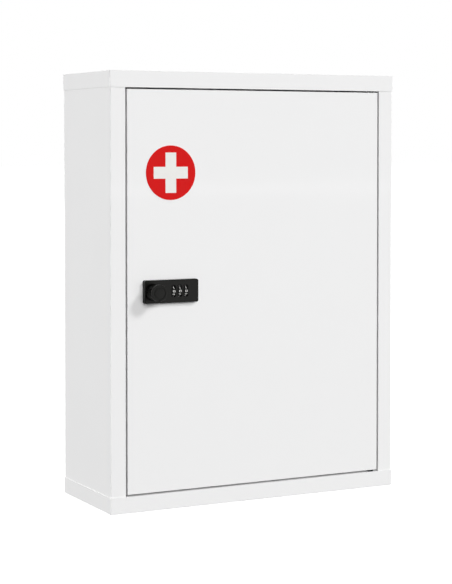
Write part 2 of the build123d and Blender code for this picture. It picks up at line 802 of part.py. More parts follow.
def cam_washer():
    """The washer between the cam and its screw."""
    y = (cam_back, washer_back)
    return (rod_y(cam_washer_diameter / 2, y, knob_x, lock_z)
            - rod_y(cam_screw_diameter / 2 + press_play, y, knob_x, lock_z))


def cam_screw():
    """The screw that holds the cam on the spindle."""
    head_back = washer_back + cam_screw_head_height
    shank = rod_y(cam_screw_diameter / 2, (washer_back - cam_screw_length, washer_back), knob_x, lock_z)
    head = rod_y(cam_screw_head / 2, (washer_back, head_back), knob_x, lock_z)
    slot = block(around(knob_x, cam_screw_head / 2), (head_back - driver_slot_depth, head_back),
                 around(lock_z, driver_slot_width / 2))
    return shank + head - slot


# ---------------------------------------------------------------- every sub-part
os.makedirs("parts", exist_ok=True)

save("top_cap", cap(cabinet_height, opening_high))
save("bottom_cap", cap(0, opening_low))
save("upper_frame_rail", frame_rail(cabinet_height, opening_high))
save("lower_frame_rail", frame_rail(0, opening_low))
save("left_side_panel", left_side_panel())
save("right_side_panel", side_panel(1))
save("back_panel", back_panel())
save("back_rivets", back_rivets())
save("frame_rivets", frame_rivets())
save("door_stops", door_stops())
save("door_bumpers", door_bumpers())
save("strike_plate", strike_plate())
for side_name, side_sign in (("left", -1), ("right", 1)):
    save(f"{side_name}_front_rail", shelf_rail(side_sign, rail_front_y))
    save(f"{side_name}_rear_rail", shelf_rail(side_sign, rail_rear_y))
for shelf_name, wanted_height in (("lower", lower_shelf_height), ("upper", upper_shelf_height)):
    save(f"{shelf_name}_shelf", shelf(wanted_height))
    save(f"{shelf_name}_shelf_clips", shelf_clips(wanted_height))

lower_block_span, upper_block_span = hinge_block_spans()
save("door_panel", door_panel())
save("door_stiffener", door_stiffener())
save("lower_hinge_block", hinge_block(lower_block_span))
save("upper_hinge_block", hinge_block(upper_block_span))
save("lower_hinge_pin", hinge_pin(lower_block_span[1] + hinge_pin_end, opening_low - bush_length))
save("upper_hinge_pin", hinge_pin(upper_block_span[0] - hinge_pin_end, opening_high + bush_length))
save("lower_hinge_bush", hinge_bush(opening_low, -1))
save("upper_hinge_bush", hinge_bush(opening_high, 1))
save("hinge_thrust_washer", hinge_thrust_washer())
save("hinge_block_screws", hinge_block_screws())
save("emblem_disc", emblem_disc())
save("emblem_cross", cross_prism(0))

save("lock_housing", lock_housing())
save("lock_chassis", lock_chassis())
save("lock_fixing_screws", lock_fixing_screws())
save("wheel_axle", wheel_axle())
save("detent_spring", detent_spring())
save("locking_slide", locking_slide())
for wheel_name, wheel_place in zip(("left", "middle", "right"), wheel_x):
    save(f"{wheel_name}_number_wheel", number_wheel(wheel_place))
save("lock_knob", lock_knob())
save("knob_spindle", knob_spindle())
save("spindle_ring", spindle_ring())
save("lock_cam", lock_cam())
save("cam_washer", cam_washer())
save("cam_screw", cam_screw())
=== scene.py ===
"""Looks of the lockable medicine cabinet: finishes for every sub-part, turned fasteners, the fluted knob,
the numbers on the lock wheels, and the studio it stands in. Metres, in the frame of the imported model.
"""
import json
import math

import bpy
from mathutils import Euler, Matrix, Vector


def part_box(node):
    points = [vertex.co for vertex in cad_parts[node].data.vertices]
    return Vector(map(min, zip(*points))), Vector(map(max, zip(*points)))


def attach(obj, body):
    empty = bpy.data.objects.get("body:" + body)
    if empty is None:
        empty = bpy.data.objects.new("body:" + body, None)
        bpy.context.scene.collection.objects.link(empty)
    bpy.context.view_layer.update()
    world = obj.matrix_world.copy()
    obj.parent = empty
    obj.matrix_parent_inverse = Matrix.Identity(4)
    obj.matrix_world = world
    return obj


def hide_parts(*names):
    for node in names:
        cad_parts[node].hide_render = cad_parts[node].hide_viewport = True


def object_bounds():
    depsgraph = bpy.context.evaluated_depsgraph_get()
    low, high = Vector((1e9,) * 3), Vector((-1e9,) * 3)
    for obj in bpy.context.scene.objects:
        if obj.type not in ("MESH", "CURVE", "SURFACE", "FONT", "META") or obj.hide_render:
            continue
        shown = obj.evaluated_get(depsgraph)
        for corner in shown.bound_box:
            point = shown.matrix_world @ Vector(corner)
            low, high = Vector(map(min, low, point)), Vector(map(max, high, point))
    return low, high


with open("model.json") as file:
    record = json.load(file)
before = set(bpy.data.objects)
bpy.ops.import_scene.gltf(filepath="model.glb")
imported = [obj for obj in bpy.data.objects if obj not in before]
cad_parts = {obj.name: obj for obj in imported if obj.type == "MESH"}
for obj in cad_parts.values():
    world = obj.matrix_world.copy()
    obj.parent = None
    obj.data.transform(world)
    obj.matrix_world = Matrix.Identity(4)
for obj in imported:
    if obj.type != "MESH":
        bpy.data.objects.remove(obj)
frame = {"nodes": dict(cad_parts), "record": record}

scene = bpy.context.scene
nodes = frame["nodes"]
cad_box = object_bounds()
mm = 0.001
quarter = math.pi / 2                   # a quarter of a turn
white = (1.0, 1.0, 1.0, 1.0)

# ---------------------------------------------------------------- camera, as the photograph was taken
camera_place = Vector((-0.9997, -1.9320, 0.4462))
camera_yaw = math.radians(27.231)       # to the right of straight at the cabinet
camera_pitch = math.radians(1.642)      # downwards
camera_lens, camera_sensor = 103.947, 36.0      # mm
camera_shift = -0.17                    # of the longer side of the frame
camera_clip = (0.01, 200.0)

# ---------------------------------------------------------------- studio
room_level = 0.12                       # soft light from all round, as matt surfaces meet it
# What gloss meets instead is a lit wall on one side of a dim room.
bright_side = Vector((0.80, -0.60, 0.10))   # towards the middle of the lit wall
bright_edge = (0.2, 0.85)               # it brightens between these cosines of the angle from its middle
bright_top = (0.10, 0.26)               # and fades out between these sines of the angle above the horizon
bright_level, dim_level = 1.68, 0.30    # of the lit wall and of the rest
# Square lamps that gloss doesn't show: direction from the cabinet, distance, side and power.
lamps = {
    "key": ((0.63, -1.0, 0.76), 20.0, 3.6, 1430.0),
    "front": ((0.0, -1.0, 0.32), 14.0, 4.5, 1105.0),
    "left": ((-1.0, 0.5, 0.25), 16.0, 6.4, 2355.0),
    "right": ((1.0, 0.5, 0.5), 9.0, 7.2, 570.0),
    "rear": ((0.2, 1.0, 0.5), 9.0, 7.2, 150.0),
}
band_place = Vector((1.25, -2.5, 0.318))    # long narrow lamp that draws the soft line across the door
band_size = (1.6, 0.032)
band_power = 0.34
floor_half = 30.0                       # from its middle to an edge
floor_drop = 0.4 * mm                   # below the underside of the cabinet
floor_glow = 1.0                        # light of its own, as bright as the backdrop
floor_cloud = 0.4                       # size of the faint clouds in its colour


# ---------------------------------------------------------------- node trees
crisp_angle = math.radians(32)          # edges that bend more than this stay crisp


def add(tree, kind, values=(), **settings):
    """A node with its settings, and its inputs set or linked by name or number."""
    node = tree.nodes.new(kind)
    for name, value in settings.items():
        setattr(node, name, value)
    for name, value in dict(values).items():
        if isinstance(value, bpy.types.NodeSocket):
            tree.links.new(value, node.inputs[name])
        else:
            node.inputs[name].default_value = value
    return node


def calc(tree, operation, *terms):
    """What a Math node gives."""
    return add(tree, "ShaderNodeMath", dict(enumerate(terms)), operation=operation).outputs[0]


def position(tree):
    """The X, Y and Z of the point that a Geometry Nodes tree works on."""
    here = add(tree, "GeometryNodeInputPosition").outputs[0]
    return add(tree, "ShaderNodeSeparateXYZ", {"Vector": here}).outputs


def new_tree(name, inputs):
    """An empty Geometry Nodes tree with named inputs, and the sockets that give them."""
    tree = bpy.data.node_groups.new(name, "GeometryNodeTree")
    tree.interface.new_socket("Geometry", in_out="INPUT", socket_type="NodeSocketGeometry")
    for label, kind in inputs:
        tree.interface.new_socket(label, in_out="INPUT", socket_type="NodeSocket" + kind)
    tree.interface.new_socket("Geometry", in_out="OUTPUT", socket_type="NodeSocketGeometry")
    return tree, tree.nodes.new("NodeGroupInput").outputs


def end_tree(tree, geometry, material):
    """Close a tree: real meshes with smooth faces and crisp edges, and their material."""
    bend = add(tree, "GeometryNodeInputMeshEdgeAngle").outputs["Unsigned Angle"]
    soft = calc(tree, "LESS_THAN", bend, crisp_angle)
    smooth = add(tree, "GeometryNodeSetShadeSmooth", {
        "Geometry": geometry, "Shade Smooth": soft,
    }, domain="EDGE")
    real = add(tree, "GeometryNodeRealizeInstances", {"Geometry": smooth.outputs[0]})
    painted = add(tree, "GeometryNodeSetMaterial", {"Geometry": real.outputs[0], "Material": material})
    add(tree, "NodeGroupOutput", {"Geometry": painted.outputs[0]})
    return tree


def grow(name, source, tree, values):
    """The object that a tree makes from some curve or mesh data, as a plain mesh."""
    piece = bpy.data.objects.new(name, source)
    scene.collection.objects.link(piece)
    modifier = piece.modifiers.new("shape", "NODES")
    modifier.node_group = tree
    for item in tree.interface.items_tree:
        if item.in_out == "INPUT" and item.name in values:
            modifier[item.identifier] = values[item.name]
    view = bpy.context.evaluated_depsgraph_get()
    mesh = bpy.data.meshes.new_from_object(piece.evaluated_get(view), depsgraph=view)
    mesh.name = name
    bpy.data.objects.remove(piece)
    grown = bpy.data.objects.new(name, mesh)
    scene.collection.objects.link(grown)
    return grown


def fit(piece, body, slot, *replaced):
    """Put a finished piece on its body, and hide the nodes that it stands for. The slot is not used."""
    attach(piece, body)
    if replaced:
        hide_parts(*replaced)


# ---------------------------------------------------------------- finishes
noise_low, noise_high = 0.3, 0.7        # values of a noise that count as its lowest and highest


def by_socket(values):
    """Keyword values under the names of their sockets, which have spaces in place of underscores."""
    return {name.replace("_", " "): value for name, value in values.items()}


def finish_base(name, **values):
    """A material with its main shader, and the object coordinates that its patterns follow."""
    material = bpy.data.materials.new(name)
    material.use_nodes = True
    tree = material.node_tree
    tree.nodes.clear()
    shader = add(tree, "ShaderNodeBsdfPrincipled", by_socket(values))
    add(tree, "ShaderNodeOutputMaterial", {"Surface": shader.outputs[0]})
    place = add(tree, "ShaderNodeTexCoord").outputs["Object"]
    return material, tree, shader, place


def noise(tree, place, size, detail=2.0, roughness=0.5, stretch=None):
    """Cloudy noise with spots of about the given size; a small value of stretch draws them out."""
    if stretch:
        place = add(tree, "ShaderNodeMapping", {"Vector": place, "Scale": stretch}).outputs[0]
    return add(tree, "ShaderNodeTexNoise", {
        "Vector": place, "Scale": 1.0 / size, "Detail": detail, "Roughness": roughness,
    }).outputs["Fac"]


def spread(tree, value, low, high):
    """A noise value spread over the range from low to high."""
    return add(tree, "ShaderNodeMapRange", {
        "Value": value, "From Min": noise_low, "From Max": noise_high, "To Min": low, "To Max": high,
    }).outputs["Result"]


def tint(tree, value, dark, light):
    """A colour between two others, by a noise value."""
    ramp = add(tree, "ShaderNodeValToRGB", {"Fac": value})
    first, last = ramp.color_ramp.elements
    first.position, last.position = noise_low, noise_high
    first.color, last.color = (*dark, 1.0), (*light, 1.0)
    return ramp.outputs["Color"]


def relief(tree, shader, *layers):
    """Bump from layers of (height value, distance in metres, strength)."""
    normal = None
    for height, distance, strength in layers:
        values = {"Height": height, "Distance": distance, "Strength": strength}
        if normal:
            values["Normal"] = normal
        normal = add(tree, "ShaderNodeBump", values).outputs[0]
    tree.links.new(normal, shader.inputs["Normal"])


def feed(tree, shader, name, value):
    """Drive one input of a shader with a pattern."""
    tree.links.new(value, shader.inputs[name])


def powder_coat():
    """Smooth white powder coat: a faint orange peel under a semi-gloss skin."""
    material, tree, shader, place = finish_base(
        "white_powder_coat", Coat_Weight=0.35, Coat_Roughness=0.045, Coat_IOR=1.45)
    mottle = noise(tree, place, 60 * mm)
    peel = noise(tree, place, 1.6 * mm, detail=1.0)
    grain = noise(tree, place, 0.35 * mm, detail=1.0)
    feed(tree, shader, "Base Color", tint(tree, mottle, (0.912, 0.912, 0.913), (0.919, 0.919, 0.919)))
    feed(tree, shader, "Roughness", spread(tree, mottle, 0.42, 0.45))
    relief(tree, shader, (peel, 0.03 * mm, 0.5), (grain, 0.006 * mm, 0.5))
    return material


def zinc_plate():
    """Bright zinc plating with a cloudy blue passivation."""
    material, tree, shader, place = finish_base("zinc_plate", Metallic=1.0)
    cloud = noise(tree, place, 9 * mm, detail=4.0)
    grain = noise(tree, place, 0.25 * mm, detail=2.0)
    feed(tree, shader, "Base Color", tint(tree, cloud, (0.62, 0.64, 0.67), (0.76, 0.76, 0.74)))
    feed(tree, shader, "Roughness", spread(tree, cloud, 0.24, 0.36))
    relief(tree, shader, (grain, 0.01 * mm, 0.5))
    return material


def black_nylon():
    """Black moulded nylon with a dull skin."""
    material, tree, shader, place = finish_base("black_nylon", Specular_IOR_Level=0.3)
    cloud = noise(tree, place, 2 * mm)
    feed(tree, shader, "Base Color", tint(tree, cloud, (0.008, 0.008, 0.008), (0.014, 0.014, 0.014)))
    feed(tree, shader, "Roughness", spread(tree, cloud, 0.48, 0.58))
    relief(tree, shader, (noise(tree, place, 0.2 * mm), 0.01 * mm, 0.4))
    return material


def black_oxide():
    """Hardened steel pin with a thin black oxide, a little worn."""
    material, tree, shader, place = finish_base("black_oxide_steel", Metallic=1.0)
    wear = noise(tree, place, 1.5 * mm, detail=4.0, roughness=0.6)
    feed(tree, shader, "Base Color", tint(tree, wear, (0.022, 0.022, 0.024), (0.050, 0.050, 0.052)))
    feed(tree, shader, "Roughness", spread(tree, wear, 0.34, 0.46))
    relief(tree, shader, (wear, 0.01 * mm, 0.4))
    return material


def bumper_rubber():
    """Dull black rubber."""
    material, tree, shader, place = finish_base("bumper_rubber")
    cloud = noise(tree, place, 1.5 * mm, detail=3.0)
    feed(tree, shader, "Base Color", tint(tree, cloud, (0.014, 0.014, 0.014), (0.030, 0.030, 0.030)))
    feed(tree, shader, "Roughness", spread(tree, cloud, 0.72, 0.85))
    relief(tree, shader, (noise(tree, place, 0.15 * mm), 0.02 * mm, 0.6))
    return material


def enamel(name, dark, light):
    """Printed enamel of the emblem and the wheel numbers, with the slight wave of a stoved film."""
    material, tree, shader, place = finish_base(name, Specular_IOR_Level=0.25)
    cloud = noise(tree, place, 12 * mm)
    feed(tree, shader, "Base Color", tint(tree, cloud, dark, light))
    feed(tree, shader, "Roughness", spread(tree, cloud, 0.34, 0.40))
    relief(tree, shader, (noise(tree, place, 1.2 * mm, detail=1.0), 0.015 * mm, 0.4))
    return material


def grained_plastic(name, dark, light, grain_size, grain_depth, dull):
    """Moulded plastic with a fine spark-eroded grain."""
    material, tree, shader, place = finish_base(name, Specular_IOR_Level=0.15)
    cloud = noise(tree, place, 8 * mm, detail=3.0)
    grain = noise(tree, place, grain_size, detail=3.0, roughness=0.6)
    feed(tree, shader, "Base Color", tint(tree, cloud, dark, light))
    feed(tree, shader, "Roughness", spread(tree, cloud, dull - 0.03, dull + 0.03))
    relief(tree, shader, (grain, grain_depth, 0.6))
    return material


def cast_zinc():
    """Die-cast zinc as it leaves the mould: grey, cloudy, with fine pits."""
    material, tree, shader, place = finish_base("die_cast_zinc", Metallic=1.0)
    cloud = noise(tree, place, 6 * mm, detail=5.0, roughness=0.6)
    pits = noise(tree, place, 0.5 * mm, detail=4.0, roughness=0.65)
    feed(tree, shader, "Base Color", tint(tree, cloud, (0.44, 0.45, 0.46), (0.60, 0.61, 0.62)))
    feed(tree, shader, "Roughness", spread(tree, cloud, 0.42, 0.56))
    relief(tree, shader, (pits, 0.04 * mm, 0.5))
    return material


def spring_strip():
    """Rolled spring steel, with fine lines along the strip."""
    material, tree, shader, place = finish_base("spring_strip", Metallic=1.0)
    lines = noise(tree, place, 0.3 * mm, detail=3.0, stretch=(0.05, 1.0, 1.0))
    feed(tree, shader, "Base Color", tint(tree, lines, (0.52, 0.52, 0.50), (0.68, 0.67, 0.64)))
    feed(tree, shader, "Roughness", spread(tree, lines, 0.22, 0.34))
    relief(tree, shader, (lines, 0.008 * mm, 0.5))
    return material


finishes = {
    "white_steel": powder_coat(),
    "zinc_steel": zinc_plate(),
    "nylon": black_nylon(),
    "rubber": bumper_rubber(),
    "red_print": enamel("red_enamel", (0.645, 0.003, 0.003), (0.675, 0.004, 0.004)),
    "white_print": enamel("white_enamel", (0.885, 0.880, 0.852), (0.905, 0.900, 0.872)),
    "black_plastic": grained_plastic(
        "black_moulding", (0.0052, 0.0052, 0.0044), (0.0072, 0.0072, 0.0062),
        grain_size=0.30 * mm, grain_depth=0.02 * mm, dull=0.33),
    "wheel_plastic": grained_plastic(
        "wheel_moulding", (0.004, 0.004, 0.004), (0.006, 0.006, 0.006),
        grain_size=0.15 * mm, grain_depth=0.01 * mm, dull=0.4),
    "cast_zinc": cast_zinc(),
    "spring_steel": spring_strip(),
}
pin_finish = black_oxide()              # the hinge pins are black, the other fasteners bright
for row in frame["record"]["subparts"]:
    shown = nodes[row["node"]].data.materials
    shown.clear()
    shown.append(pin_finish if row["node"].endswith("hinge_pin") else finishes[row["material_slot"]])


# ---------------------------------------------------------------- turned pieces
turned_sides = 48                       # round a rivet or a screw
turned_edge, turned_edge_steps = 0.12 * mm, 4       # rounding of the corners of an outline


def turned_tree():
    """Turns an outline about its axis, flutes its side, cuts a slot across it, and sets a copy on each place.

    The outline is a curve of (radius, length) points. The places are the corners of another object's mesh.
    """
    tree, given = new_tree("turned_piece", [
        ("Places", "Object"), ("Turn", "Vector"), ("Sides", "Int"), ("Edge Round", "Float"),
        ("Flutes", "Int"), ("Flute Depth", "Float"), ("Flute Start", "Float"), ("Flute Run", "Float"),
        ("Slotted", "Bool"), ("Slot Size", "Vector"), ("Slot Place", "Vector"), ("Material", "Material"),
    ])
    core = 0.01 * mm                    # the outline is carried round a ring of this radius
    rounded = add(tree, "GeometryNodeFilletCurve", {
        "Curve": given["Geometry"], "Radius": given["Edge Round"], "Count": turned_edge_steps,
        "Limit Radius": True,
    }, mode="POLY")
    inward = add(tree, "GeometryNodeTransform", {
        "Geometry": rounded.outputs[0], "Translation": (-core, 0.0, 0.0), "Scale": (1.0, -1.0, 1.0),
    })
    ring = add(tree, "GeometryNodeCurvePrimitiveCircle", {"Resolution": given["Sides"], "Radius": core})
    skin = add(tree, "GeometryNodeCurveToMesh", {
        "Curve": ring.outputs["Curve"], "Profile Curve": inward.outputs[0],
    })
    whole = add(tree, "GeometryNodeMergeByDistance", {"Geometry": skin.outputs[0], "Distance": core / 2})

    # Flutes: straight-sided grooves, from nothing on a ridge to their full depth halfway to the next.
    at = position(tree)
    around = calc(tree, "DIVIDE", calc(tree, "ARCTAN2", at["Y"], at["X"]), 2 * math.pi)
    wave = calc(tree, "PINGPONG", calc(tree, "MULTIPLY", around, given["Flutes"]), 0.5)
    groove = calc(tree, "MULTIPLY", wave, 2.0)
    run = add(tree, "ShaderNodeMapRange", {
        "Value": at["Z"], "From Min": given["Flute Start"],
        "From Max": calc(tree, "ADD", given["Flute Start"], given["Flute Run"]),
    }, interpolation_type="SMOOTHSTEP").outputs["Result"]
    radius = calc(tree, "SQRT", calc(tree, "ADD", calc(tree, "MULTIPLY", at["X"], at["X"]),
                                     calc(tree, "MULTIPLY", at["Y"], at["Y"])))
    cut = calc(tree, "MULTIPLY", calc(tree, "MULTIPLY", groove, run), given["Flute Depth"])
    share = calc(tree, "SUBTRACT", 1.0, calc(tree, "DIVIDE", cut, calc(tree, "MAXIMUM", radius, core)))
    fluted = add(tree, "GeometryNodeSetPosition", {
        "Geometry": whole.outputs[0],
        "Position": add(tree, "ShaderNodeCombineXYZ", {
            "X": calc(tree, "MULTIPLY", at["X"], share), "Y": calc(tree, "MULTIPLY", at["Y"], share),
            "Z": at["Z"],
        }).outputs[0],
    })

    # The slot, where there is one, and a copy on each place.
    cutter = add(tree, "GeometryNodeMeshCube", {"Size": given["Slot Size"]})
    moved = add(tree, "GeometryNodeTransform", {
        "Geometry": cutter.outputs[0], "Translation": given["Slot Place"],
    })
    slotted = add(tree, "GeometryNodeMeshBoolean", {
        "Mesh 1": fluted.outputs[0], "Mesh 2": moved.outputs[0],
    }, operation="DIFFERENCE", solver="MANIFOLD")
    chosen = add(tree, "GeometryNodeSwitch", {
        "Switch": given["Slotted"], "False": fluted.outputs[0], "True": slotted.outputs[0],
    }, input_type="GEOMETRY")
    corners = add(tree, "GeometryNodeObjectInfo", {"Object": given["Places"]})
    copies = add(tree, "GeometryNodeInstanceOnPoints", {
        "Points": corners.outputs["Geometry"], "Instance": chosen.outputs[0],
        "Rotation": add(tree, "FunctionNodeEulerToRotation", {"Euler": given["Turn"]}).outputs[0],
    })
    return end_tree(tree, copies.outputs[0], given["Material"])


def outline(name, points):
    """A curve through (radius, length) points, from one end of the axis to the other."""
    curve = bpy.data.curves.new(name, "CURVE")
    curve.dimensions = "3D"
    line = curve.splines.new("POLY")
    line.points.add(len(points) - 1)
    for corner, (radius, length) in zip(line.points, points):
        corner.co = (radius, length, 0.0, 1.0)
    return curve


def turn(name, points, places, facing, finish, **values):
    """Copies of one turned piece, each facing along an axis from its place."""
    holder = bpy.data.objects.new("places", bpy.data.meshes.new("places"))
    holder.data.from_pydata([tuple(place) for place in places], [], [])
    scene.collection.objects.link(holder)
    settings = {
        "Places": holder, "Turn": turn_towards[facing], "Sides": turned_sides, "Edge Round": turned_edge,
        "Material": finishes[finish], **by_socket(values),
    }
    piece = grow(name, outline(name, points), turned, settings)
    bpy.data.objects.remove(holder)
    return piece


turn_towards = {"-Y": (quarter, 0.0, 0.0), "+Y": (-quarter, 0.0, 0.0), "+X": (0.0, quarter, 0.0)}
turned = turned_tree()


# ---------------------------------------------------------------- knob
knob_sides = 240                        # eight to a flute
knob_rim, knob_rim_steps = 0.6 * mm, 6  # rounding of the front edge
knob_ring_outer, knob_ring_inner, knob_ring_depth = 7.8 * mm, 6.2 * mm, 0.7 * mm
knob_bore, knob_bore_depth = 4.02 * mm, 12.0 * mm       # radius and depth of the hole for the spindle
knob_pointer_width, knob_pointer_depth = 1.3 * mm, 1.0 * mm
knob_flutes, knob_flute_depth = 30, 1.65 * mm
knob_flute_start = 2.2 * mm             # behind the face
knob_flute_run = knob_flute_start / 2   # the flutes reach their full depth over this length


def arc(centre, radius, start, end, steps):
    """Points along an arc, with angles in degrees from the radius axis towards the length axis."""
    angles = [math.radians(start + (end - start) * step / steps) for step in range(steps + 1)]
    return [(centre[0] + radius * math.cos(a), centre[1] + radius * math.sin(a)) for a in angles]


def make_knob():
    """The round knob: a fluted side, a ring sunk in its face and a pointer groove at the bottom."""
    low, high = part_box("lock_knob")
    radius, length = (high.x - low.x) / 2, high.y - low.y
    place = ((low.x + high.x) / 2, high.y, (low.z + high.z) / 2)
    flank = length - knob_flute_start
    points = [
        (0.0, length), (knob_ring_inner, length), (knob_ring_inner, length - knob_ring_depth),
        (knob_ring_outer, length - knob_ring_depth), (knob_ring_outer, length),
        *arc((radius - knob_rim, length - knob_rim), knob_rim, 90, 0, knob_rim_steps),
        *[(radius, flank + share * knob_flute_run) for share in (1.0, 0.0, -0.5, -1.0)],
        (radius, 0.0), (knob_bore, 0.0), (knob_bore, knob_bore_depth), (0.0, knob_bore_depth),
    ]
    inner = (knob_ring_inner + knob_ring_outer) / 2     # the pointer groove begins in the sunk ring
    knob = turn(
        "knob_grip", points, [place], "-Y", "black_plastic", Sides=knob_sides,
        Flutes=knob_flutes, Flute_Depth=knob_flute_depth, Flute_Start=flank, Flute_Run=-knob_flute_run,
        Slotted=True, Slot_Size=(knob_pointer_width, radius - inner, 2 * knob_pointer_depth),
        Slot_Place=(0.0, -(radius + inner) / 2, length),
    )
    fit(knob, "knob", "black_plastic", "lock_knob")


# ---------------------------------------------------------------- rivets
rivet_head, rivet_shank, rivet_tail = 3.0 * mm, 1.6 * mm, 2.2 * mm      # radii
rivet_height, rivet_tail_height = 0.6 * mm, 1.4 * mm
back_rivet_grip, frame_rivet_grip = 1.6 * mm, 2.0 * mm      # thickness of the sheets that they hold
back_rivet_rows = 5                     # up each edge of the back panel


def rivet_outline(grip):
    """A blind rivet, from the hole left by its mandrel to its closed end behind the sheets."""
    head, height, shank = rivet_head, rivet_height, rivet_shank
    tail, tail_height = rivet_tail, rivet_tail_height
    hole, hole_depth = 0.3 * head, 0.75 * height
    return [
        (0.0, height - hole_depth), (hole, height - hole_depth), (hole, height),
        (head * 0.72, height * 0.86), (head * 0.93, height * 0.5), (head, 0.12 * height), (head, 0.0),
        (shank, 0.0), (shank, -grip), (tail * 0.86, -grip), (tail, -grip - 0.3 * tail_height),
        (tail, -grip - 0.7 * tail_height), (tail * 0.7, -grip - tail_height), (0.0, -grip - tail_height),
    ]


def make_rivets():
    """The blind rivets of the back panel, and those of the door stops and the strike plate."""
    low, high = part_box("back_rivets")
    bottom, rise = low.z + rivet_head, high.z - low.z - 2 * rivet_head
    heights = [bottom + rise * row / (back_rivet_rows - 1) for row in range(back_rivet_rows)]
    places = [(x, high.y - rivet_height, z)
              for x in (low.x + rivet_head, high.x - rivet_head) for z in heights]
    rivets = turn("back_panel_rivets", rivet_outline(back_rivet_grip), places, "+Y", "zinc_steel")
    fit(rivets, "cabinet", "zinc_steel", "back_rivets")

    low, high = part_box("frame_rivets")
    strike_low, strike_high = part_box("strike_plate")
    quarter_strike = (strike_high.z - strike_low.z) / 4
    heights = [low.z + rivet_head, strike_low.z + quarter_strike, strike_high.z - quarter_strike,
               high.z - rivet_head]
    places = [(high.x - rivet_height, (low.y + high.y) / 2, z) for z in heights]
    rivets = turn("frame_lip_rivets", rivet_outline(frame_rivet_grip), places, "+X", "zinc_steel")
    fit(rivets, "cabinet", "zinc_steel", "frame_rivets")


# ---------------------------------------------------------------- screws
screw_head, screw_shank = 2.75 * mm, 1.5 * mm       # radii; the screw of the cam has a wider head
slot_width = 0.8 * mm
slot_reach = 2.2                        # length of a slot in radii of the head, past its rim
hinge_screw_height, hinge_screw_length, hinge_slot_depth = 0.8 * mm, 8.8 * mm, 0.4 * mm
hinge_screw_pitch = 12.0 * mm           # between the two screws of a hinge block
lock_screw_height, lock_screw_length, lock_slot_depth = 1.0 * mm, 18.5 * mm, 0.6 * mm
cam_screw_height, cam_screw_length, cam_slot_depth = 2.0 * mm, 8.0 * mm, 0.7 * mm


def slotted_screws(name, places, facing, head, height, length, slot_depth):
    """Low-headed machine screws with a slightly domed head and a level slot."""
    shank = screw_shank
    points = [
        (0.0, height), (head * 0.55, height * 0.97), (head * 0.88, height * 0.8), (head, height * 0.45),
        (head, 0.0), (shank, 0.0), (shank, 0.25 * shank - length), (shank * 0.75, -length), (0.0, -length),
    ]
    across, along = slot_width, slot_reach * head
    level = (across, along) if facing == "+X" else (along, across)
    return turn(name, points, places, facing, "zinc_steel",
                Slotted=True, Slot_Size=(*level, 2 * slot_depth), Slot_Place=(0.0, 0.0, height))


def make_screws():
    """The screws of the hinge blocks, the lock body and the cam."""
    low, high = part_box("hinge_block_screws")
    bottom, top = low.z + screw_head, high.z - screw_head
    places = [(high.x - hinge_screw_height, (low.y + high.y) / 2, z)
              for z in (bottom, bottom + hinge_screw_pitch, top - hinge_screw_pitch, top)]
    screws = slotted_screws("hinge_screws", places, "+X", screw_head,
                            hinge_screw_height, hinge_screw_length, hinge_slot_depth)
    fit(screws, "door", "zinc_steel", "hinge_block_screws")

    low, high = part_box("lock_fixing_screws")
    left, right, seat = low.x + screw_head, high.x - screw_head, high.y - lock_screw_height
    places = [(right, seat, (low.z + high.z) / 2),
              (left, seat, high.z - screw_head), (left, seat, low.z + screw_head)]
    screws = slotted_screws("lock_screws", places, "+Y", screw_head,
                            lock_screw_height, lock_screw_length, lock_slot_depth)
    fit(screws, "door", "zinc_steel", "lock_fixing_screws")

    low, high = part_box("cam_screw")
    place = ((low.x + high.x) / 2, high.y - cam_screw_height, (low.z + high.z) / 2)
    screw = slotted_screws("cam_fixing_screw", [place], "+Y", (high.x - low.x) / 2,
                           cam_screw_height, cam_screw_length, cam_slot_depth)
    fit(screw, "knob", "zinc_steel", "cam_screw")


# ---------------------------------------------------------------- numbers on the wheels
digits = "0123456789"                   # upwards round a wheel, from the one at the front
number_height = 2.75 * mm
number_share = 0.70                     # height of a number, as a share of its type size
number_stretch = 2.0                    # times as wide as the type
number_curve_steps = 3
stroke_trim = -0.02 * mm                # moves the edges of the strokes; below zero they get slimmer
print_depth, print_height = 0.15 * mm, 0.05 * mm    # below and above the rim of the wheel
print_splits = 2                        # of the faces, so that they can bend round the rim
print_weld = 0.001 * mm                 # corners as close as this become one


